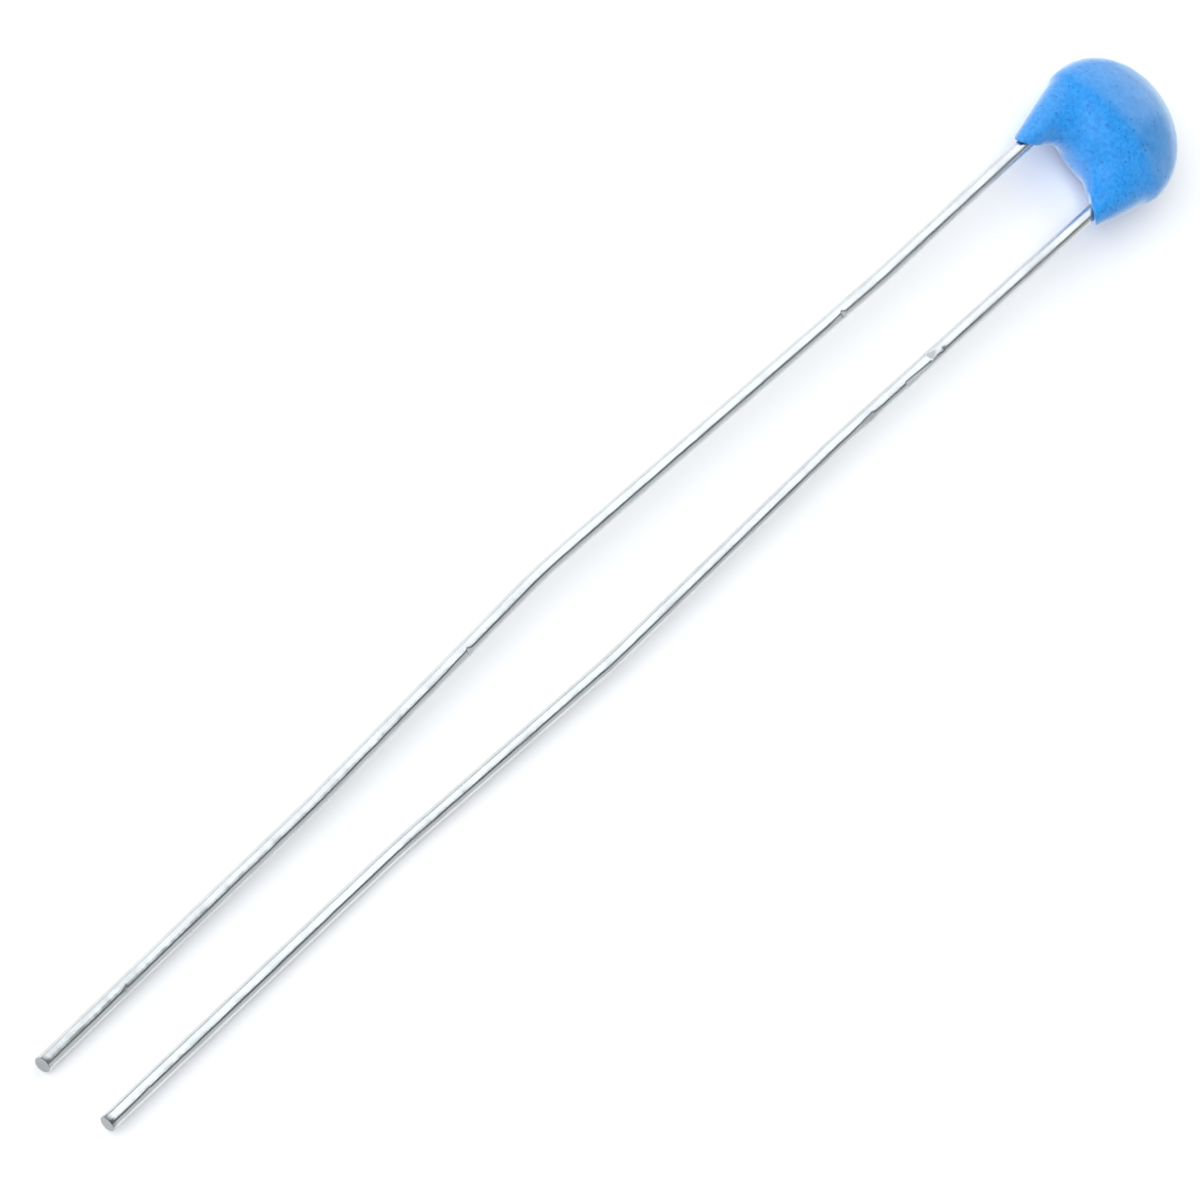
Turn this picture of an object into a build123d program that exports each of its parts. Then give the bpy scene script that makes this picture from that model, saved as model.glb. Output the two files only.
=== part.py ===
"""A small ceramic disc capacitor, lying on its back with its two leads stretched out.

Frame: X runs along the leads towards the body, Z is up, the table is Z = 0 and the
origin is under the middle of the whole length. All lengths are in millimetres.
"""

import os
from math import cos, radians, sin, tan

from build123d import *

# Wire leads
lead_diameter = 0.40
lead_pitch = 2.54
front_lead_length = 39.2
back_lead_length = 38.85
lead_bend_radius = 20.0
lead_crimp_radius = 0.5

# Bends of the front lead: share of its length, bow away from the straight line, height over the table
front_waist_share = 0.186
front_waist_bow = -0.02
front_waist_height = 1.15
front_kink_share = 0.541
front_kink_bow = 0.29
front_kink_height = 0.95
front_elbow_share = 0.765
front_elbow_bow = -0.14
front_elbow_height = 0.55
front_tip_bow = -0.34

# Bends of the back lead, which touches the table at its elbow
back_waist_share = 0.301
back_waist_bow = -0.17
back_waist_height = 0.75
back_kink_share = 0.538
back_kink_bow = -0.06
back_kink_height = 0.50
back_elbow_share = 0.741
back_elbow_bow = -0.30
back_tip_bow = -0.32
back_tip_height = 0.32

# Ceramic disc with its fired electrodes
disc_diameter = 2.90
disc_thickness = 0.40
disc_lift = 0.30
electrode_margin = 0.25
electrode_thickness = 0.03

# Inner ends of the leads, crimped out of the middle plane onto the two faces of the disc
crimp_depth = 0.15
lead_land_margin = 0.04
lead_land_angle = 39.5
lead_end_rise = 0.50
lead_end_side = 0.20

# Solder round the end of each lead
solder_film = 0.03
solder_cover = 0.06
solder_overrun = 0.10
solder_length = 1.40

# Dipped epoxy coating: its walls round the disc and wires, and its two legs
coat_wall = 0.67
coat_cover = 0.59
coat_rim_radius = 0.85
meniscus_wall = 0.23
leg_reach = 0.52
front_leg_extra = 0.32
leg_wall = 0.05
leg_offset = 0.08
leg_root_inset = 0.02
leg_middle_share = 0.40
front_leg_bulge_share = 0.44
back_leg_bulge_share = 0.62
leg_slant_angle = 34.0
leg_blend_radius = 0.65

# Sizes that follow
lead_radius = lead_diameter / 2
lead_side = lead_pitch / 2
disc_radius = disc_diameter / 2
electrode_top = disc_thickness / 2 + electrode_thickness
wire_rise = electrode_top + solder_film + lead_radius
coat_radius = disc_radius + coat_wall
coat_thickness = 2 * (wire_rise + lead_radius + coat_cover)
coat_drop = disc_radius - disc_lift + meniscus_wall
leg_drop = coat_drop + leg_reach

# Places along the part and over the table
total_length = front_lead_length + leg_drop + coat_radius
top_x = total_length / 2
coat_centre_x = top_x - coat_radius
leg_end_x = coat_centre_x - leg_drop
disc_centre_x = coat_centre_x + disc_lift
middle_z = coat_thickness / 2
front_tip_height = lead_radius
back_elbow_height = lead_radius

# The disc, flat and level in the middle of the coating
with BuildPart() as ceramic_disc:
    with BuildSketch(Plane.XY.offset(middle_z)):
        with Locations((disc_centre_x, 0)):
            Circle(disc_radius)
    extrude(amount=disc_thickness / 2, both=True)


def inner_points(side):
    """The soldered end of a lead, its landing beside the disc's edge, and its crimp inside the leg."""
    wire_z = middle_z + side * wire_rise
    land_reach = disc_radius + lead_land_margin
    land_turn = radians(lead_land_angle)
    return [
        (disc_centre_x + lead_end_rise, side * lead_end_side, wire_z),
        (disc_centre_x - land_reach * cos(land_turn), side * land_reach * sin(land_turn), wire_z),
        (leg_end_x + crimp_depth, side * lead_side, middle_z),
    ]


def outer_points(side, length, bends):
    """The bends of a lead outside the coating, and then its tip."""
    return [(leg_end_x - share * length, side * (lead_side + bow), height) for share, bow, height in bends]


front_bends = [
    (front_waist_share, front_waist_bow, front_waist_height),
    (front_kink_share, front_kink_bow, front_kink_height),
    (front_elbow_share, front_elbow_bow, front_elbow_height),
    (1, front_tip_bow, front_tip_height),
]
back_bends = [
    (back_waist_share, back_waist_bow, back_waist_height),
    (back_kink_share, back_kink_bow, back_kink_height),
    (back_elbow_share, back_elbow_bow, back_elbow_height),
    (1, back_tip_bow, back_tip_height),
]
bend_radii = [lead_crimp_radius] * 2 + [lead_bend_radius] * 3

leads = {}
electrodes = {}
solders = {}
for name, side, length, bends in (
    ("front", 1, front_lead_length, front_bends),
    ("back", -1, back_lead_length, back_bends),
):
    # A round wire swept along straight runs and tangent arcs
    with BuildPart() as lead:
        with BuildLine() as route:
            FilletPolyline(inner_points(side) + outer_points(side, length, bends), radius=bend_radii)
        with BuildSketch(Plane(origin=route.line @ 0, z_dir=route.line % 0)):
            Circle(lead_radius)
        sweep(path=route.line)
    leads[name] = lead.part

    # A thin disc of fired silver on the ceramic, inside a bare margin
    face_origin = (disc_centre_x, 0, middle_z + side * disc_thickness / 2)
    with BuildPart() as electrode:
        with BuildSketch(Plane(origin=face_origin, z_dir=(0, 0, side))):
            Circle(disc_radius - electrode_margin)
        extrude(amount=electrode_thickness)
    electrodes[name] = electrode.part

    # A mound of solder, half a capsule, that wraps the lead's end and runs a little past it
    wire_end = Vector(*inner_points(side)[0])
    wire_run = (wire_end - Vector(*inner_points(side)[1])).normalized()
    mound_centre = wire_end + wire_run * (solder_overrun - solder_length / 2)
    mound_origin = (mound_centre.X, mound_centre.Y, middle_z + side * electrode_top)
    mound_radius = solder_film + lead_diameter + solder_cover
    mound_plane = Plane(origin=mound_origin, x_dir=wire_run, z_dir=(0, 0, side))
    with BuildPart() as solder:
        with BuildSketch(mound_plane):
            SlotOverall(solder_length, 2 * mound_radius)
            split(bisect_by=Plane.XZ)
        revolve(axis=Axis(mound_origin, wire_run))
        split(bisect_by=mound_plane)
        add(lead.part, mode=Mode.SUBTRACT)
    solders[name] = solder.part

# Half of a crowned lens: two crown arcs that run tangent into one round rim
rim_reach = coat_radius - coat_rim_radius
crown_rise = middle_z - coat_rim_radius
crown_sink = (rim_reach**2 - crown_rise**2) / (2 * crown_rise)
crown_radius = middle_z + crown_sink
crown_share = crown_radius / (crown_radius - coat_rim_radius)
meet_side = rim_reach * crown_share
meet_rise = crown_sink * crown_share - crown_sink
with BuildSketch(Plane(origin=(0, 0, middle_z), x_dir=(0, 1, 0), z_dir=(1, 0, 0))) as lens_section:
    with BuildLine():
        RadiusArc((0, middle_z), (meet_side, meet_rise), crown_radius)
        RadiusArc((meet_side, meet_rise), (meet_side, -meet_rise), coat_rim_radius)
        RadiusArc((meet_side, -meet_rise), (0, -middle_z), crown_radius)
        Line((0, -middle_z), (0, middle_z))
    make_face()

# The upper half is round in plan, and the lower half is drawn in to the meniscus between the legs
with BuildPart() as upper_lens:
    revolve(lens_section.sketch, axis=Axis.Z.reverse(), revolution_arc=180)
with BuildPart() as lower_lens:
    revolve(lens_section.sketch, axis=Axis.Z, revolution_arc=180)
    scale(by=(coat_drop / coat_radius, 1, 1))

# Each leg is a tapering sleeve of coating that follows its lead, cut off on a slant
leg_side = lead_side + leg_offset
leg_end_radius = lead_radius + leg_wall
leg_root_radius = coat_rim_radius - abs(rim_reach - leg_side) - leg_root_inset
slant = radians(leg_slant_angle)
leg_tail = 2 * leg_end_radius * tan(slant)
legs = []
for side, leg_length, bulge_share in (
    (1, leg_drop + front_leg_extra, front_leg_bulge_share),
    (-1, leg_drop, back_leg_bulge_share),
):
    leg_start = (coat_centre_x - leg_length, side * leg_side, middle_z)
    leg_middle_radius = leg_end_radius + bulge_share * (leg_root_radius - leg_end_radius)
    leg_sections = [
        (-leg_tail, leg_end_radius),
        (leg_length * leg_middle_share, leg_middle_radius),
        (leg_length, leg_root_radius),
    ]
    with BuildPart() as leg:
        for run, section_radius in leg_sections:
            with BuildSketch(Plane(origin=leg_start, z_dir=(1, 0, 0)).offset(run)):
                Circle(section_radius)
        loft()
        split(bisect_by=Plane(origin=leg_start, z_dir=(cos(slant), side * sin(slant), 0)))
    legs.append(leg.part)

inner_pieces = [ceramic_disc.part, *electrodes.values(), *solders.values(), *leads.values()]

# The coating: lens and legs blended together, then hollowed round everything that it was dipped over
with BuildPart() as epoxy_coating:
    with Locations((coat_centre_x, 0)):
        add(upper_lens.part)
        add(lower_lens.part)
    add(legs)
    fillet(edges(Select.NEW), radius=leg_blend_radius)
    for inside in inner_pieces:
        add(inside, mode=Mode.SUBTRACT)

ceramic_disc.part.label = "ceramic_disc"
epoxy_coating.part.label = "epoxy_coating"
for name in ("front", "back"):
    leads[name].label = name + "_lead"
    electrodes[name].label = name + "_electrode"
    solders[name].label = name + "_solder"

os.makedirs("parts", exist_ok=True)
for piece in (epoxy_coating.part, *inner_pieces):
    export_step(piece, "parts/" + piece.label + ".step")
    print(piece.label, "volume", round(piece.volume, 4), "mm3")
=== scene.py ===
# %% [markdown]
# # A dipped ceramic disc capacitor
# The real part is a ceramic disc with two wires soldered to it, dipped in blue epoxy and left to
# cure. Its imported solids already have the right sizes, so this lesson only dresses them: the two
# wires and the coating get finer meshes and worn finishes, and the sealed pieces keep their solids.
# Everything is modelled in millimetres, because Blender's tools have small built-in limits that
# such a tiny part would meet in metres, and each piece is shrunk to metres when it is handed over.

import random
from math import atan2, cos, pi, radians, sin, tan

import bmesh
import bpy
from mathutils import Matrix, Vector, kdtree, noise
from mathutils.bvhtree import BVHTree


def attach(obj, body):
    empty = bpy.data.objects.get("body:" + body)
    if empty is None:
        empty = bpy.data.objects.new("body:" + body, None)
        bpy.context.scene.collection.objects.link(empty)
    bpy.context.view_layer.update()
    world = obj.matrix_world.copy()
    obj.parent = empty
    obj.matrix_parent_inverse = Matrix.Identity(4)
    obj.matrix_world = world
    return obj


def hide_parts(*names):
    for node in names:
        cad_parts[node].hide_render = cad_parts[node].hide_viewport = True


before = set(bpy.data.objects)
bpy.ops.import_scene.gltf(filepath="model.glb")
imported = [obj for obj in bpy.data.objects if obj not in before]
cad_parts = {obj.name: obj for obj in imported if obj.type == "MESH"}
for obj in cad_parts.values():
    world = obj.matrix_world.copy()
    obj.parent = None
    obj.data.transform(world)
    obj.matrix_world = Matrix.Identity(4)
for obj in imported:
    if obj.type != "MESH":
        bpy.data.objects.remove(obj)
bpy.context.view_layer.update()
scene = bpy.context.scene
scene.view_settings.view_transform = "Standard"
millimetre = 0.001
print("solids:", sorted(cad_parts))

# %% [markdown]
# ## The camera
# The picture was taken from over the wire tips, with a long lens and the camera rolled by sixty
# degrees so that the part lies along the diagonal. A tracking constraint would keep the camera
# level, so the three axes of the camera are worked out instead and the roll is turned into them.

# %% Place the camera
camera_target = Vector((-2.0819, -0.0152, 0))
camera_distance = 112.968
camera_azimuth = radians(-10.4207)
camera_elevation = radians(53.0812)
camera_roll = radians(59.7873)
picture_width = 1200
focal_pixels = 4713.885

backwards = Vector((
    -cos(camera_azimuth) * cos(camera_elevation),
    -sin(camera_azimuth) * cos(camera_elevation),
    sin(camera_elevation),
))
level_right = Vector((0, 0, 1)).cross(backwards).normalized()
level_up = backwards.cross(level_right)
rolled_right = cos(camera_roll) * level_right + sin(camera_roll) * level_up
rolled_up = backwards.cross(rolled_right)

camera = bpy.data.objects.new("camera", bpy.data.cameras.new("camera"))
camera.data.sensor_width = 36
camera.data.lens = camera.data.sensor_width * focal_pixels / picture_width
camera.data.clip_start = 0.01
camera.data.clip_end = 20
camera_turn = Matrix((rolled_right, rolled_up, backwards)).transposed().to_4x4()
camera_place = (camera_target + camera_distance * backwards) * millimetre
camera.matrix_world = Matrix.Translation(camera_place) @ camera_turn
scene.collection.objects.link(camera)
scene.camera = camera
print("lens", round(camera.data.lens, 1), "mm at", [round(c, 4) for c in camera_place], "m")

# %% [markdown]
# ## Building finishes from nodes
# Every finish is a small tree of nodes. One helper adds a node, sets its switches, and either
# writes a value into each named socket or links another node's output to it, which keeps the
# recipes below short enough to read as recipes.

# %% A helper for shader nodes
def add_node(tree, kind, switches=None, **sockets):
    """Adds a node and fills or links its sockets, whose names have _ in place of a space."""
    made = tree.nodes.new(kind)
    for name, value in (switches or {}).items():
        setattr(made, name, value)
    for name, value in sockets.items():
        socket = made.inputs[name.replace("_", " ")]
        if isinstance(value, bpy.types.NodeSocket):
            tree.links.new(value, socket)
        else:
            socket.default_value = value
    return made


def start_finish(name):
    """A new material, its node tree, its main shader and the place on the piece in millimetres."""
    finish = bpy.data.materials.new(name)
    finish.use_nodes = True
    tree = finish.node_tree
    shader = tree.nodes["Principled BSDF"]
    place = add_node(tree, "ShaderNodeTexCoord").outputs["Object"]
    in_millimetres = (1 / millimetre,) * 3
    place = add_node(tree, "ShaderNodeMapping", Vector=place, Scale=in_millimetres).outputs["Vector"]
    return finish, tree, shader, place


# %% Helpers for patterns, ranges and colours
mix_share, mix_first, mix_second, mix_result = 0, 6, 7, 2


def add_noise(tree, place, scale, detail=3.0, roughness=0.5):
    """A cloudy pattern between 0 and 1, with that many cells to the millimetre."""
    made = add_node(
        tree, "ShaderNodeTexNoise", Vector=place, Scale=scale, Detail=detail, Roughness=roughness,
    )
    return made.outputs["Fac"]


def spread(tree, value, low, high, from_low=0.0, from_high=1.0):
    """Maps a value onto another range, clamped at both ends."""
    made = add_node(
        tree, "ShaderNodeMapRange", Value=value,
        From_Min=from_low, From_Max=from_high, To_Min=low, To_Max=high,
    )
    return made.outputs["Result"]


def mix_colour(tree, share, first, second):
    """Mixes two colours by a share between 0 and 1. The node's colour sockets go by number."""
    made = add_node(tree, "ShaderNodeMix", {"data_type": "RGBA"})
    tree.links.new(share, made.inputs[mix_share])
    for number, colour in ((mix_first, first), (mix_second, second)):
        if isinstance(colour, bpy.types.NodeSocket):
            tree.links.new(colour, made.inputs[number])
        else:
            made.inputs[number].default_value = (*colour, 1)
    return made.outputs[mix_result]


def add_maths(tree, operation, first, second):
    """One sum on two values."""
    made = add_node(tree, "ShaderNodeMath", {"operation": operation})
    for socket, value in zip(made.inputs, (first, second)):
        if isinstance(value, bpy.types.NodeSocket):
            tree.links.new(value, socket)
        else:
            socket.default_value = value
    return made.outputs[0]


def add_bump(tree, shader, height, strength, depth):
    """Roughens the surface by a height pattern, at most that many millimetres deep."""
    made = add_node(tree, "ShaderNodeBump", Height=height, Strength=strength, Distance=depth * millimetre)
    tree.links.new(made.outputs["Normal"], shader.inputs["Normal"])


# %% [markdown]
# ## Handing a piece over
# A finished bmesh is shrunk to metres and becomes an object at the origin that rides on the part's
# one body. It then stands for its CAD node, which stays behind for collision.

# %% A helper that finishes a piece
def hand_over(shape, name, finish, node):
    """Turns a bmesh in millimetres into the object that stands for a CAD node."""
    bmesh.ops.scale(shape, vec=(millimetre,) * 3, verts=shape.verts)
    data = bpy.data.meshes.new(name)
    shape.to_mesh(data)
    shape.free()
    data.materials.append(finish)
    piece = bpy.data.objects.new(name, data)
    scene.collection.objects.link(piece)
    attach(piece, "root")
    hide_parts(node)
    print(name, "has", len(data.polygons), "faces")


# %% [markdown]
# ## The wire's finish
# The leads are copper-clad steel wire with a bright tin coat. Tin is a soft metal that takes fine
# lines along the wire when it is drawn and dulls in patches where fingers held it. Noise that is
# stretched along the wire gives the lines, and rounder noise gives the patches. The end near the
# body went through the oven with the coating and is a little duller too. All of it drives the
# roughness, because a worn metal changes its shine far more than its colour. The patches are only a
# shade darker, and the snipped ends show the grey of the bare core. Tin that is melted on also lies
# in soft lumps, and a low bump of them makes the reflections waver.

# %% Bright tinned wire
tin_bright = (0.75, 0.765, 0.765)
tin_dull = (0.67, 0.685, 0.69)
bare_core = (0.42, 0.43, 0.44)
oven_start = -5.0
oven_end = 14.0
oven_share = 0.09
patch_share = 0.10
drawn_scale = (0.35, 16, 16)
tin_grain_share = 0.35
lump_share = 14

tinned_wire, tree, shader, place = start_finish("tinned_wire")
along = add_node(tree, "ShaderNodeMapping", Vector=place, Scale=drawn_scale).outputs["Vector"]
drawn_lines = add_noise(tree, along, 1.0, detail=4.0, roughness=0.6)
dull_patches = add_noise(tree, place, 1.3, detail=4.0, roughness=0.6)
tin_grain = add_noise(tree, place, 26.0, detail=2.0)
tin_lumps = add_noise(tree, place, 1.5, detail=2.0)
along_part = add_node(tree, "ShaderNodeSeparateXYZ", Vector=place).outputs["X"]
oven_dulling = spread(tree, along_part, 0, oven_share, oven_start, oven_end)
dulling = add_maths(tree, "MULTIPLY", spread(tree, dull_patches, 0, 1, 0.45, 0.75), patch_share)
dulling = add_maths(tree, "ADD", dulling, oven_dulling)
shine = add_maths(tree, "ADD", spread(tree, drawn_lines, 0.13, 0.24, 0.3, 0.7), dulling)
tree.links.new(shine, shader.inputs["Roughness"])
tin_colour = mix_colour(tree, spread(tree, dull_patches, 0, 1, 0.4, 0.8), tin_bright, tin_dull)
cut = add_node(tree, "ShaderNodeAttribute", {"attribute_name": "cut"}).outputs["Fac"]
tin_colour = mix_colour(tree, cut, tin_colour, bare_core)
tree.links.new(tin_colour, shader.inputs["Base Color"])
shader.inputs["Metallic"].default_value = 1
grain_relief = add_maths(tree, "MULTIPLY", tin_grain, tin_grain_share)
wire_relief = add_maths(tree, "ADD", drawn_lines, grain_relief)
lump_relief = add_maths(tree, "MULTIPLY", tin_lumps, lump_share)
wire_relief = add_maths(tree, "ADD", wire_relief, lump_relief)
add_bump(tree, shader, wire_relief, 0.25, 0.006)
print("tinned_wire:", len(tree.nodes), "nodes")

# %% [markdown]
# ## The two leads
# A real lead is one round wire that was fed straight off a reel and bent a little by handling. It
# could be a bevelled curve, but the photograph shows exact straight runs with slow bends between
# them, and flats where a tool gripped the wire. So the mesh is made as a wire-bending machine makes
# the wire: a ring of vertices is extruded forward for each run and spun about the middle of each
# bend. The points are the corners of the solid's route, from the soldered end out to the tip. Only
# the tip of the back lead runs a little further than its solid.

# %% The routes of the two wires
wire_radius = 0.20
crimp_bend = 0.5
slow_bend = 20.0
bend_radii = (crimp_bend, crimp_bend, slow_bend, slow_bend, slow_bend)
front_route = [
    Vector((20.29, 0.20, 1.71)),
    Vector((18.640, 0.948, 1.71)),
    Vector((17.74, 1.27, 1.25)),
    Vector((10.299, 1.25, 1.15)),
    Vector((-3.617, 1.56, 0.95)),
    Vector((-12.398, 1.13, 0.55)),
    Vector((-21.61, 0.93, 0.20)),
]
back_route = [
    Vector((20.29, -0.20, 0.79)),
    Vector((18.640, -0.948, 0.79)),
    Vector((17.74, -1.27, 1.25)),
    Vector((5.896, -1.10, 0.75)),
    Vector((-3.311, -1.21, 0.50)),
    Vector((-11.198, -0.97, 0.20)),
    Vector((-21.38, -0.95, 0.32)),
]
print("corners of the routes:", len(front_route), "and", len(back_route))

# %% Feed and bend a ring of wire
wire_sides = 32
feed_step = 0.16
fewest_bend_steps = 4


def edges_between(made, corners):
    """Those of the newly made edges whose two ends are both among the corners."""
    corners = set(corners)
    edges = [part for part in made if isinstance(part, bmesh.types.BMEdge)]
    return [edge for edge in edges if corners.issuperset(edge.verts)]


def feed(wire, ring, run):
    """Pushes the open end of the wire forward in short steps, and gives its new end ring."""
    steps = max(1, round(run.length / feed_step))
    for _ in range(steps):
        made = bmesh.ops.extrude_edge_only(wire, edges=ring)["geom"]
        corners = [part for part in made if isinstance(part, bmesh.types.BMVert)]
        bmesh.ops.translate(wire, verts=corners, vec=run / steps)
        ring = edges_between(made, corners)
    return ring


def bend(wire, ring, middle, axis, angle, arc):
    """Spins the open end of the wire about the middle of a bend, and gives its new end ring."""
    steps = max(fewest_bend_steps, round(arc / feed_step))
    made = bmesh.ops.spin(
        wire, geom=ring, cent=middle, axis=axis, dvec=(0, 0, 0), angle=angle, steps=steps,
        use_merge=False, use_duplicate=False,
    )["geom_last"]
    return [part for part in made if isinstance(part, bmesh.types.BMEdge)]


# %% Bend a whole wire
def bend_wire(route):
    """A round wire along the route, open at both ends, and its two end rings."""
    wire = bmesh.new()
    first_run = (route[1] - route[0]).normalized()
    facing = Matrix.Translation(route[0]) @ first_run.to_track_quat("Z", "Y").to_matrix().to_4x4()
    bmesh.ops.create_circle(wire, segments=wire_sides, radius=wire_radius, matrix=facing)
    first_ring = list(wire.edges)
    ring = first_ring
    place = route[0]
    for corner, after, radius in zip(route[1:], route[2:], bend_radii):
        into = (corner - place).normalized()
        out = (after - corner).normalized()
        angle = into.angle(out)
        axis = into.cross(out).normalized()
        setback = radius * tan(angle / 2)
        start = corner - into * setback
        ring = feed(wire, ring, start - place)
        ring = bend(wire, ring, start + axis.cross(into) * radius, axis, angle, radius * angle)
        place = corner + out * setback
    return wire, first_ring, feed(wire, ring, route[-1] - place)


trial, _, trial_end = bend_wire(front_route)
trial_tip = sum((edge.verts[0].co for edge in trial_end), Vector()) / len(trial_end)
print("the bent wire ends", round((trial_tip - front_route[-1]).length, 4), "mm from its tip")
trial.free()

# %% [markdown]
# Handling left its marks: where a jaw slid along the wire it shaved a flat that gets deeper and ends
# in a crisp step. A flat is pressed in by pushing the vertices that stand above a plane down onto
# it, after the wire there was cut into finer rings.

# %% Press in a tool mark
shortest_run = 0.10
ring_cuts = 5


def centre_line(route, x):
    """The middle of the wire at that place along the part."""
    for before, after in zip(route[2:], route[3:]):
        if after.x <= x <= before.x:
            return before.lerp(after, (before.x - x) / (before.x - after.x))
    return route[-1].copy()


def add_rings(wire, low_x, high_x):
    """Cuts the wire into finer rings between two places, so that a mark there has crisp steps."""
    lengthwise = []
    for edge in wire.edges:
        first, second = sorted(corner.co.x for corner in edge.verts)
        if second - first > shortest_run and second > low_x and first < high_x:
            lengthwise.append(edge)
    bmesh.ops.subdivide_edges(wire, edges=lengthwise, cuts=ring_cuts, use_grid_fill=True)


def press_flat(wire, route, shallow_x, deep_x, facing, depth):
    """Shaves a flat that deepens towards one end, facing that many degrees up from the front side."""
    add_rings(wire, min(shallow_x, deep_x), max(shallow_x, deep_x))
    away = Vector((0, cos(radians(facing)), sin(radians(facing))))
    for corner in wire.verts:
        share = (corner.co.x - shallow_x) / (deep_x - shallow_x)
        if 0 < share <= 1:
            top = wire_radius - depth * share
            proud = (corner.co - centre_line(route, corner.co.x)).dot(away) - top
            if proud > 0:
                corner.co -= away * proud


# %% [markdown]
# The two ends were snipped, so each has a flat face, a little off square, with a rolled edge. A named
# attribute marks those faces, where the duller core of the wire lies bare.

# %% Snip an end
rolled_edge = 0.02
rolled_steps = 3
rim_reach_share = 1.004


def snip(wire, ring, lean):
    """Closes an open end with a face that leans that many degrees off square, and rolls its edge."""
    cut_layer = wire.verts.layers.float.get("cut") or wire.verts.layers.float.new("cut")
    corners = list({corner for edge in ring for corner in edge.verts})
    middle = sum((corner.co for corner in corners), Vector()) / len(corners)
    turn = Matrix.Rotation(radians(lean), 3, "Y")
    bmesh.ops.rotate(wire, verts=corners, cent=middle, matrix=turn)
    bmesh.ops.contextual_create(wire, geom=ring)
    bmesh.ops.bevel(
        wire, geom=ring, offset=rolled_edge, offset_type="OFFSET", affect="EDGES",
        segments=rolled_steps, profile=0.5, material=-1,
    )
    for corner in wire.verts:
        if (corner.co - middle).length < wire_radius * rim_reach_share:
            corner[cut_layer] = 1


# %% [markdown]
# Each flat in the lists is where it starts, where it is deepest, the way it faces in degrees and its
# depth. They are the marks that show in the photograph.

# %% Make the two leads
front_lean = 7
back_lean = -5
front_flats = [
    (9.38, 9.16, 58, 0.020),
    (7.60, 8.40, 116, 0.018),
    (8.54, 8.40, 118, 0.050),
    (-7.70, -6.72, 114, 0.014),
    (-6.56, -6.72, 124, 0.050),
    (-19.16, -18.96, 108, 0.022),
]
back_flats = [
    (10.30, 9.98, 62, 0.060),
    (10.28, 10.50, 94, 0.016),
    (10.00, 8.86, 124, 0.032),
    (6.40, 7.46, 114, 0.024),
    (-20.60, -20.08, 112, 0.008),
]


def make_lead(name, route, flats, lean, node):
    """One lead: bent, marked and snipped."""
    wire, first_ring, last_ring = bend_wire(route)
    for flat in flats:
        press_flat(wire, route, *flat)
    snip(wire, last_ring, lean)
    snip(wire, first_ring, 0)
    bmesh.ops.recalc_face_normals(wire, faces=wire.faces)
    for face in wire.faces:
        face.smooth = len(face.verts) == 4
    hand_over(wire, name, tinned_wire, node)


make_lead("front_wire", front_route, front_flats, front_lean, "front_lead")
make_lead("back_wire", back_route, back_flats, back_lean, "back_lead")

# %% [markdown]
# ## The dipped coating
# Epoxy is a thick liquid when the disc is dipped. Surface tension pulls it into a crowned lens with
# one round rim, drags two legs of it down the wires, and leaves a curved meniscus between them. The
# mould for it here is a lens and two tapering sleeves. Spinning one vertex draws each arc of the
# lens's section, and spinning that section about the upright axis makes the lens. Its half towards
# the leads is then drawn in, a touch further than in the solid.

# %% Spin the lens
coat_middle = Vector((19.57, -0.045, 1.25))
coat_radius = 2.14
coat_half = 1.25
rim_radius = 0.85
coat_drop = 1.38
drawn_in = coat_drop / coat_radius
rim_reach = coat_radius - rim_radius
crown_rise = coat_half - rim_radius
crown_sink = (rim_reach**2 - crown_rise**2) / (2 * crown_rise)
crown_angle = atan2(rim_reach, crown_sink)
crown_steps = 24
rim_steps = 40
lens_steps = 128
weld_distance = 0.0005
across = Vector((0, 1, 0))
upright = Vector((0, 0, 1))


def draw_arc(shape, corner, middle, angle, steps):
    """Spins one vertex about a middle, which leaves an arc of edges, and gives its far end."""
    made = bmesh.ops.spin(
        shape, geom=[corner], cent=middle, axis=across, dvec=(0, 0, 0), angle=angle, steps=steps,
        use_merge=False, use_duplicate=False,
    )["geom_last"]
    return next(part for part in made if isinstance(part, bmesh.types.BMVert))


def spin_lens():
    """The closed lens about the origin, its lower half drawn in, moved to its place."""
    lens = bmesh.new()
    corner = lens.verts.new((0, 0, coat_half))
    corner = draw_arc(lens, corner, (0, 0, -crown_sink), crown_angle, crown_steps)
    corner = draw_arc(lens, corner, (rim_reach, 0, 0), pi - 2 * crown_angle, rim_steps)
    draw_arc(lens, corner, (0, 0, crown_sink), crown_angle, crown_steps)
    bmesh.ops.spin(
        lens, geom=lens.verts[:] + lens.edges[:], cent=(0, 0, 0), axis=upright, dvec=(0, 0, 0),
        angle=2 * pi, steps=lens_steps, use_merge=True, use_duplicate=False,
    )
    bmesh.ops.remove_doubles(lens, verts=lens.verts, dist=weld_distance)
    lower_half = [corner for corner in lens.verts if corner.co.x < 0]
    bmesh.ops.scale(lens, vec=(drawn_in, 1, 1), verts=lower_half)
    bmesh.ops.translate(lens, verts=lens.verts, vec=coat_middle)
    bmesh.ops.recalc_face_normals(lens, faces=lens.faces)
    return lens


lens = spin_lens()
print("lens volume", round(lens.calc_volume(), 2), "mm3")

# %% [markdown]
# Each leg is a ring that grows as it is extruded from below the cut up into the lens, with one
# middle section that sets how full the leg is, and then closes in a dome that stays hidden inside
# the lens. It leans a little, because its end hugs the wire. A plane cuts off the lower end on a
# slant, longest on the outer and upper side, where the liquid ran down furthest.

# %% How thick a leg is along its run
leg_root_radius = 0.74
leg_middle_share = 0.40
leg_steps = 24
dome_steps = 8
dome_reach = 0.60


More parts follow.
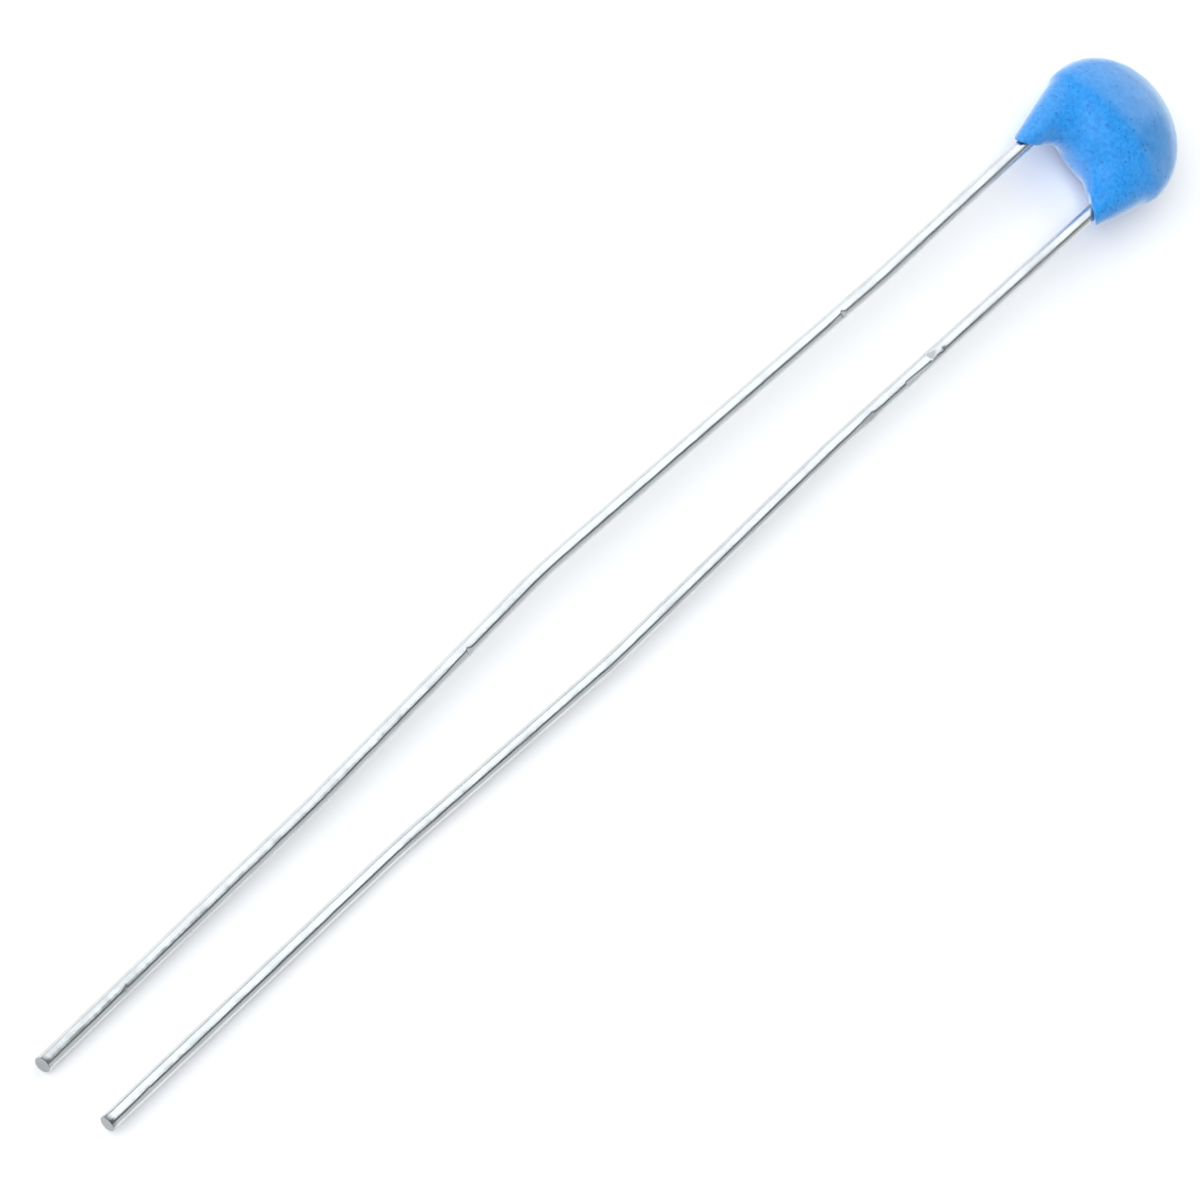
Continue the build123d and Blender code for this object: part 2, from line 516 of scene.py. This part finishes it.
def leg_radius(run, length, tail, end_radius, fullness):
    """The radius of a leg at that run from its cut: a parabola through its end, middle and root."""
    middle_run = length * leg_middle_share
    middle_radius = end_radius + fullness * (leg_root_radius - end_radius)
    knots = ((-tail, end_radius), (middle_run, middle_radius), (length, leg_root_radius))
    total = 0
    for here, radius in knots:
        weight = 1
        for other, _ in knots:
            if other != here:
                weight *= (run - other) / (here - other)
        total += radius * weight
    return total


def leg_profile(length, tail, end_radius, fullness):
    """The run and radius of each ring of a leg: first the sleeve, then the dome over its root."""
    profile = []
    for step in range(leg_steps + 1):
        run = -tail + (length + tail) * step / leg_steps
        profile.append((run, leg_radius(run, length, tail, end_radius, fullness)))
    for step in range(1, dome_steps):
        turn = pi / 2 * step / dome_steps
        profile.append((length + dome_reach * sin(turn), leg_root_radius * cos(turn)))
    return profile


print("a straight leg of 2 mm has", len(leg_profile(2, 0, leg_root_radius, 1)), "rings")

# %% Extrude the legs and cut them on a slant
leg_side = 1.35
leg_end_side = 1.30
leg_cut_radius = 0.25
leg_tilt = radians(38)
leg_sides = 96
front_leg_length = 2.50
front_leg_end = 0.232
front_leg_fullness = 0.50
front_leg_slant = radians(45)
back_leg_length = 2.13
back_leg_end = 0.250
back_leg_fullness = 0.62
back_leg_slant = radians(34)


def extrude_leg(side, length, end_radius, fullness, slant):
    """One closed leg of coating, cut off on its slant."""
    leg = bmesh.new()
    start = Vector((coat_middle.x - length, side * leg_end_side, coat_middle.z))
    slope = Vector((1, side * (leg_side - leg_end_side) / length, 0))
    tail = 2 * leg_cut_radius * tan(slant)
    profile = leg_profile(length, tail, end_radius, fullness)
    run, radius = profile[0]
    facing = Matrix.Translation(start + slope * run) @ Matrix.Rotation(radians(90), 4, "Y")
    bmesh.ops.create_circle(leg, segments=leg_sides, radius=radius, matrix=facing)
    ring = list(leg.edges)
    bmesh.ops.contextual_create(leg, geom=ring)
    for next_run, next_radius in profile[1:]:
        made = bmesh.ops.extrude_edge_only(leg, edges=ring)["geom"]
        corners = [part for part in made if isinstance(part, bmesh.types.BMVert)]
        ring = edges_between(made, corners)
        bmesh.ops.translate(leg, verts=corners, vec=slope * (next_run - run))
        growth = next_radius / radius
        on_axis = Matrix.Translation(-start - slope * next_run)
        bmesh.ops.scale(leg, vec=(1, growth, growth), space=on_axis, verts=corners)
        run, radius = next_run, next_radius
    bmesh.ops.contextual_create(leg, geom=ring)
    kept_way = Vector((cos(slant), side * sin(slant), tan(leg_tilt))).normalized()
    cut = bmesh.ops.bisect_plane(
        leg, geom=leg.verts[:] + leg.edges[:] + leg.faces[:], dist=weld_distance, plane_co=start,
        plane_no=kept_way, clear_inner=True,
    )["geom_cut"]
    cut_rim = [part for part in cut if isinstance(part, bmesh.types.BMEdge)]
    bmesh.ops.contextual_create(leg, geom=cut_rim)
    bmesh.ops.recalc_face_normals(leg, faces=leg.faces)
    return leg


front_leg = extrude_leg(1, front_leg_length, front_leg_end, front_leg_fullness, front_leg_slant)
back_leg = extrude_leg(-1, back_leg_length, back_leg_end, back_leg_fullness, back_leg_slant)
print("legs", round(front_leg.calc_volume(), 2), "and", round(back_leg.calc_volume(), 2), "mm3")

# %% [markdown]
# ## Blending lens and legs
# The liquid epoxy leaves no crease where a leg runs into the lens, but a round fill. A voxel remesh
# fuses the three shapes into one skin of even squares. The fill is then what a ball would leave that
# rolls along the crease and touches both shapes. Each corner of the skin looks up how far it stands
# over the lens and over its leg. Where a ball that touches both would reach it, the corner moves out
# onto that ball, and elsewhere it moves onto the lens or the leg itself, so the steps of the voxels
# go too.

# %% Fuse lens and legs
voxel_size = 0.053


def append_shape(target, source):
    """Adds a copy of one bmesh to another."""
    carrier = bpy.data.meshes.new("carrier")
    source.to_mesh(carrier)
    target.from_mesh(carrier)
    bpy.data.meshes.remove(carrier)


def run_modifier(shape, kind, **settings):
    """Runs one modifier on a bmesh and gives the result as a new bmesh."""
    carrier = bpy.data.objects.new("carrier", bpy.data.meshes.new("carrier"))
    shape.to_mesh(carrier.data)
    shape.free()
    scene.collection.objects.link(carrier)
    modifier = carrier.modifiers.new(kind, kind)
    for name, value in settings.items():
        setattr(modifier, name, value)
    evaluated = carrier.evaluated_get(bpy.context.evaluated_depsgraph_get())
    result = bpy.data.meshes.new_from_object(evaluated)
    bpy.data.objects.remove(carrier)
    made = bmesh.new()
    made.from_mesh(result)
    bpy.data.meshes.remove(result)
    return made


coat = bmesh.new()
moulds = []
for shape in (lens, front_leg, back_leg):
    append_shape(coat, shape)
    moulds.append(BVHTree.FromBMesh(shape))
    shape.free()
lens_mould, front_mould, back_mould = moulds
coat = run_modifier(coat, "REMESH", mode="VOXEL", voxel_size=voxel_size)
print("fused skin", len(coat.faces), "faces")

# %% Settle a corner onto the ball
blend_radius = 0.80
touching = 0.002
nearly_alike = 0.999
settle_steps = 3


def rise_over(mould, point):
    """How far a point stands over a shape, and the way straight up from the shape to it."""
    spot, facing, _, _ = mould.find_nearest(point)
    away = point - spot
    if away.length < touching:
        return away.dot(facing), facing
    side = 1 if away.dot(facing) > 0 else -1
    return side * away.length, away.normalized() * side


def settle(corner):
    """Moves a corner onto the ball, the lens or its leg, and tells whether it is on the ball."""
    leg_mould = front_mould if corner.co.y > 0 else back_mould
    if corner.co.x > coat_middle.x + dome_reach:
        corner.co = lens_mould.find_nearest(corner.co)[0]
        return False
    for _ in range(settle_steps):
        lens_rise, lens_up = rise_over(lens_mould, corner.co)
        leg_rise, leg_up = rise_over(leg_mould, corner.co)
        likeness = min(lens_up.dot(leg_up), nearly_alike)
        lens_share = (blend_radius - lens_rise) - likeness * (blend_radius - leg_rise)
        leg_share = (blend_radius - leg_rise) - likeness * (blend_radius - lens_rise)
        on_ball = lens_share > 0 and leg_share > 0
        if on_ball:
            spoke = -(lens_up * lens_share + leg_up * leg_share) / (1 - likeness**2)
            corner.co += spoke.normalized() * blend_radius - spoke
        elif lens_rise < leg_rise:
            corner.co -= lens_up * lens_rise
        else:
            corner.co -= leg_up * leg_rise
    return on_ball


# %% Roll the ball along the creases
even_rounds = 4
even_factor = 0.5

blend = [corner for corner in coat.verts if settle(corner)]
for _ in range(even_rounds):
    bmesh.ops.smooth_vert(
        coat, verts=blend, factor=even_factor, use_axis_x=True, use_axis_y=True, use_axis_z=True,
    )
    for corner in blend:
        settle(corner)
print("corners on the ball", len(blend), "of", len(coat.verts))
coat = run_modifier(coat, "SUBSURF", levels=1, render_levels=1)
print("coating", len(coat.faces), "faces,", round(coat.calc_volume(), 2), "mm3")

# %% [markdown]
# ## Orange peel and pits
# Cured epoxy is never a perfect lens. It has a faint orange peel, and burst bubbles leave pits
# that look like dark specks. Both are pressed into the mesh itself, because a print of the mesh
# should have them too. A named attribute remembers where the pits are, so that the finish can paint
# shade into them.

# %% Press in the orange peel and the pits
peel_height = 0.004
peel_cells = 3.0
pit_count = 110
pit_sizes = (0.022, 0.042)
pit_share = 0.40
dice = random.Random(11)

coat.normal_update()
coat.verts.ensure_lookup_table()
skin_tree = kdtree.KDTree(len(coat.verts))
for corner in coat.verts:
    skin_tree.insert(corner.co, corner.index)
skin_tree.balance()
skin_normals = [corner.normal.copy() for corner in coat.verts]
sinks = [peel_height * noise.noise(corner.co * peel_cells) for corner in coat.verts]
pit_layer = coat.verts.layers.float.new("pit")
for _ in range(pit_count):
    seed = coat.verts[dice.randrange(len(coat.verts))]
    size = dice.uniform(*pit_sizes)
    for _, number, away in skin_tree.find_range(seed.co, size):
        bowl = 1 - (away / size) ** 2
        sinks[number] += size * pit_share * bowl**2
        coat.verts[number][pit_layer] = max(coat.verts[number][pit_layer], bowl)
for corner, normal, sink in zip(coat.verts, skin_normals, sinks):
    corner.co -= normal * sink
for face in coat.faces:
    face.smooth = True
print("pits", pit_count, "deepest", round(max(sinks), 3), "mm")

# %% [markdown]
# ## The coating's finish
# The epoxy is a pigmented sky blue with a satin skin. Its colour drifts a little from place to
# place, a fine grain of pigment shows all over, and smaller dark specks come in clusters. The pits
# are darkened with the same dark blue, which is painted shade in them. All of it could be painted
# on a picture, but patterns that are worked out from the place on the piece need no unwrapping and
# stay sharp up close.

# %% Blue pigment, grain and specks
thin_blue = (0.018, 0.268, 0.715)
thick_blue = (0.026, 0.292, 0.755)
mottle_blue = (0.042, 0.325, 0.775)
grain_blue = (0.012, 0.200, 0.600)
speck_and_pit_shade_blue = (0.010, 0.120, 0.400)
speck_and_pit_shade_strength = 0.78

blue_epoxy, tree, shader, place = start_finish("blue_epoxy")
drift = add_noise(tree, place, 0.9, detail=2.0)
mottle = add_noise(tree, place, 7.0, detail=4.0, roughness=0.65)
grain = add_noise(tree, place, 9.0, detail=4.0, roughness=0.7)
cells = add_node(tree, "ShaderNodeTexVoronoi", Vector=place, Scale=7.0)
draw = add_node(tree, "ShaderNodeSeparateColor", Color=cells.outputs["Color"]).outputs["Red"]
clusters = spread(tree, add_noise(tree, place, 1.1, detail=1.0), 1.0, 0.62, 0.40, 0.68)
is_chosen = add_maths(tree, "GREATER_THAN", draw, clusters)
in_speck = spread(tree, cells.outputs["Distance"], 1, 0, 0.14, 0.34)
speck = add_maths(tree, "MULTIPLY", in_speck, is_chosen)
# The pits take the dark speck colour, which is painted shade in them.
pit = add_node(tree, "ShaderNodeAttribute", {"attribute_name": "pit"}).outputs["Fac"]
dark_share = add_maths(tree, "MULTIPLY", add_maths(tree, "MAXIMUM", speck, pit), speck_and_pit_shade_strength)
blue = mix_colour(tree, spread(tree, drift, 0, 1, 0.3, 0.7), thin_blue, thick_blue)
blue = mix_colour(tree, spread(tree, mottle, 0, 0.5, 0.35, 0.75), blue, mottle_blue)
blue = mix_colour(tree, spread(tree, grain, 0.85, 0, 0.38, 0.60), blue, grain_blue)
print("blue_epoxy:", len(tree.nodes), "nodes for the pigment")

# %% [markdown]
# The far half of the crown is greyer and darker on top. Partly that is a mottled bloom on the
# coating, and partly it is painted shade on the half away from the lamp. It has an uneven edge
# across the part, lies only on the upper side and fades towards the front lead. Low on the rim the
# coating is painted paler, which is a painted reflection of the white table. The photograph
# doesn't show why, so the chalky film that does it here is a guess. The specks lie over both.
# Every rim is a little paler too, as under a thin film of wax, and the shader's sheen does that.
# The satin shine comes from its roughness and its coat.

# %% Bloom with painted shade, painted reflection low on the rim and satin shine
# Greyer blues for the bloom. Their darkness is partly painted shade.
bloom_and_shade_pale = (0.070, 0.290, 0.650)
bloom_and_shade_dark = (0.044, 0.215, 0.540)
# A paler blue low on the rim, which is a painted reflection of the white table.
table_reflection_blue = (0.15, 0.33, 0.74)
table_reflection_strength = 0.80
table_reflection_heights = (0.70, 1.50)
bloom_and_shade_strength = 0.72
bloom_and_shade_raggedness = 0.7
bloom_and_shade_left_in_front = 0.35
bloom_and_shade_starts = (19.08, 19.32)
bloom_and_shade_heights = (1.5, 2.1)
bloom_and_shade_sides = (0.2, 1.5)
wax_tint = (0.76, 0.95, 1.0, 1)

spot = add_node(tree, "ShaderNodeSeparateXYZ", Vector=place)
# The far, upper half of the crown turns greyer and darker here: partly a bloom, partly painted shade.
bloom_and_shade_edge = add_maths(tree, "SUBTRACT", mottle, 0.5)
bloom_and_shade_edge = add_maths(tree, "MULTIPLY", bloom_and_shade_edge, bloom_and_shade_raggedness)
bloom_and_shade = add_maths(tree, "ADD", spot.outputs["X"], bloom_and_shade_edge)
bloom_and_shade = spread(tree, bloom_and_shade, 0, bloom_and_shade_strength, *bloom_and_shade_starts)
on_top = spread(tree, spot.outputs["Z"], 0, 1, *bloom_and_shade_heights)
bloom_and_shade = add_maths(tree, "MULTIPLY", bloom_and_shade, on_top)
fading = spread(tree, spot.outputs["Y"], 1, bloom_and_shade_left_in_front, *bloom_and_shade_sides)
bloom_and_shade = add_maths(tree, "MULTIPLY", bloom_and_shade, fading)
blotches = add_noise(tree, place, 2.4, detail=3.0, roughness=0.6)
bloom_and_shade_colour = mix_colour(tree, spread(tree, blotches, 0, 1, 0.38, 0.62), bloom_and_shade_pale, bloom_and_shade_dark)
blue = mix_colour(tree, bloom_and_shade, blue, bloom_and_shade_colour)
# Low on the rim the blue turns paler: a painted reflection of the white table.
table_reflection = spread(tree, spot.outputs["Z"], table_reflection_strength, 0, *table_reflection_heights)
blue = mix_colour(tree, table_reflection, blue, table_reflection_blue)
blue = mix_colour(tree, dark_share, blue, speck_and_pit_shade_blue)
tree.links.new(blue, shader.inputs["Base Color"])
tree.links.new(spread(tree, mottle, 0.27, 0.38, 0.3, 0.7), shader.inputs["Roughness"])
shader.inputs["Specular IOR Level"].default_value = 0.25
shader.inputs["Coat Weight"].default_value = 0.45
shader.inputs["Coat Roughness"].default_value = 0.16
shader.inputs["Sheen Weight"].default_value = 0.75
shader.inputs["Sheen Roughness"].default_value = 0.40
shader.inputs["Sheen Tint"].default_value = wax_tint
skin_relief = add_maths(tree, "ADD", grain, mottle)
add_bump(tree, shader, skin_relief, 0.35, 0.012)
hand_over(coat, "dipped_coating", blue_epoxy, "epoxy_coating")

# %% [markdown]
# ## The sealed pieces
# The disc, its electrodes and the solder are inside the coating. Their solids are already right, so
# they stay as they are and only get finishes: fired titanate is tan and grainy, fired silver is a
# matte white metal, and solder is a duller, lumpier one.

# %% Finishes for the sealed pieces
titanate_dark = (0.48, 0.35, 0.24)
titanate_pale = (0.62, 0.49, 0.36)
silver_dull = (0.74, 0.73, 0.70)
silver_bright = (0.84, 0.83, 0.80)
solder_dull = (0.56, 0.56, 0.58)
solder_bright = (0.70, 0.70, 0.71)


def dress_solid(finish, *names):
    """Gives the objects of these CAD nodes a finish."""
    for name in names:
        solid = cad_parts[name]
        if not solid.material_slots:
            solid.data.materials.append(finish)
        solid.material_slots[0].material = finish
    print(finish.name, "on", names)


fired_titanate, tree, shader, place = start_finish("fired_titanate")
fired_grain = add_noise(tree, place, 12.0, detail=5.0, roughness=0.6)
grain_share = spread(tree, fired_grain, 0, 1, 0.3, 0.7)
titanate_colour = mix_colour(tree, grain_share, titanate_dark, titanate_pale)
tree.links.new(titanate_colour, shader.inputs["Base Color"])
tree.links.new(spread(tree, fired_grain, 0.55, 0.75), shader.inputs["Roughness"])
add_bump(tree, shader, fired_grain, 0.3, 0.01)
dress_solid(fired_titanate, "ceramic_disc")

fired_silver, tree, shader, place = start_finish("fired_silver")
screen_weave = add_noise(tree, place, 20.0, detail=3.0)
silver_colour = mix_colour(tree, screen_weave, silver_dull, silver_bright)
tree.links.new(silver_colour, shader.inputs["Base Color"])
tree.links.new(spread(tree, screen_weave, 0.45, 0.65), shader.inputs["Roughness"])
shader.inputs["Metallic"].default_value = 1
add_bump(tree, shader, screen_weave, 0.3, 0.006)
dress_solid(fired_silver, "front_electrode", "back_electrode")

tin_solder, tree, shader, place = start_finish("tin_solder")
solder_lumps = add_noise(tree, place, 6.0, detail=3.0)
solder_colour = mix_colour(tree, solder_lumps, solder_dull, solder_bright)
tree.links.new(solder_colour, shader.inputs["Base Color"])
tree.links.new(spread(tree, solder_lumps, 0.25, 0.45), shader.inputs["Roughness"])
shader.inputs["Metallic"].default_value = 1
add_bump(tree, shader, solder_lumps, 0.4, 0.015)
dress_solid(tin_solder, "front_solder", "back_solder")

# %% [markdown]
# ## The table
# The part lies on a plain white table that is as bright as the paper of the picture, so only the
# part's own shadow shows on it. Its colour does most of that. A little glow is added where the
# camera or a reflection looks at the table, because that lifts the shadows and leaves the soft
# light that the table throws back onto the part as it is.

# %% Lay the table
table_half = 3.0
table_white = (0.92, 0.92, 0.925, 1)
table_glow = (0.97, 0.98, 1.0, 1)
table_lift = 0.06

table_shape = bmesh.new()
bmesh.ops.create_grid(table_shape, x_segments=1, y_segments=1, size=table_half)
table_data = bpy.data.meshes.new("table")
table_shape.to_mesh(table_data)
table_shape.free()
table = bpy.data.objects.new("table", table_data)
white_table, tree, shader, _ = start_finish("white_table")
shader.inputs["Base Color"].default_value = table_white
shader.inputs["Roughness"].default_value = 0.7
shader.inputs["Specular IOR Level"].default_value = 0.2
looks = add_node(tree, "ShaderNodeLightPath").outputs
seen = add_maths(tree, "MAXIMUM", looks["Is Camera Ray"], looks["Is Glossy Ray"])
seen = add_maths(tree, "MAXIMUM", seen, looks["Is Transmission Ray"])
shader.inputs["Emission Color"].default_value = table_glow
tree.links.new(add_maths(tree, "MULTIPLY", seen, table_lift), shader.inputs["Emission Strength"])
table_data.materials.append(white_table)
scene.collection.objects.link(table)
print("table", 2 * table_half, "m square")

# %% [markdown]
# ## The light
# One broad lamp stands behind the camera on the side of the front lead, so every shadow falls
# towards the back lead and away from the camera. It is kept out of reflections, because the
# photograph shows no spot of it on the coating. What shines is painted on the world, by direction:
# a bright screen beyond the body, seen in the far half of the crown and along the tops of the
# wires, a dimmer wall on the shadow side, and a dark gap between them, which draws the dark line
# along each wire. The rest of the room is dimmer still.

# %% Hang the lamp
lamp_direction = Vector((-0.59, 0.38, 0.71))
lamp_light = 2.7
lamp_width = radians(58)

lamp = bpy.data.objects.new("lamp", bpy.data.lights.new("lamp", "SUN"))
lamp.data.energy = lamp_light
lamp.data.angle = lamp_width
lamp.visible_glossy = False
lamp.rotation_mode = "QUATERNION"
lamp.rotation_quaternion = lamp_direction.to_track_quat("Z", "Y")
scene.collection.objects.link(lamp)
print("lamp", lamp.data.energy, "W/m2")

# %% Paint the room
room_tint = (0.925, 0.965, 1.0, 1)
screen_light = 1.45
screen_front = (0.15, 0.40)
screen_foot = (0.03, 0.12)
screen_top = (0.87, 0.94)
screen_side = (-0.29, -0.13)
shade_wall_light = 0.70
shade_wall_side = (-0.64, -0.46)
shade_wall_top = (0.70, 0.90)
wall_lights = (0.12, 0.32)
wall_sides = (-0.4, 0.6)
behind_light = 0.55
behind_front = (-0.6, -0.1)
overhead_light = 0.20
overhead_foot = (0.6, 0.9)

room = bpy.data.worlds.new("room")
room.use_nodes = True
scene.world = room
tree = room.node_tree
background = tree.nodes["Background"]
direction = add_node(tree, "ShaderNodeTexCoord").outputs["Generated"]
parts = add_node(tree, "ShaderNodeSeparateXYZ", Vector=direction)
screen = spread(tree, parts.outputs["X"], 0, screen_light, *screen_front)
for limit in (
    spread(tree, parts.outputs["Z"], 0, 1, *screen_foot),
    spread(tree, parts.outputs["Z"], 1, 0, *screen_top),
    spread(tree, parts.outputs["Y"], 0, 1, *screen_side),
):
    screen = add_maths(tree, "MULTIPLY", screen, limit)
shade_wall = spread(tree, parts.outputs["Y"], shade_wall_light, 0, *shade_wall_side)
below_top = spread(tree, parts.outputs["Z"], 1, 0, *shade_wall_top)
shade_wall = add_maths(tree, "MULTIPLY", shade_wall, below_top)
walls = spread(tree, parts.outputs["Y"], *wall_lights, *wall_sides)
behind = spread(tree, parts.outputs["X"], behind_light, 0, *behind_front)
overhead = spread(tree, parts.outputs["Z"], 0, overhead_light, *overhead_foot)
room_light = screen
for other in (shade_wall, walls, behind, overhead):
    room_light = add_maths(tree, "MAXIMUM", room_light, other)
tree.links.new(room_light, background.inputs["Strength"])
background.inputs["Color"].default_value = room_tint
print("room", len(tree.nodes), "nodes")
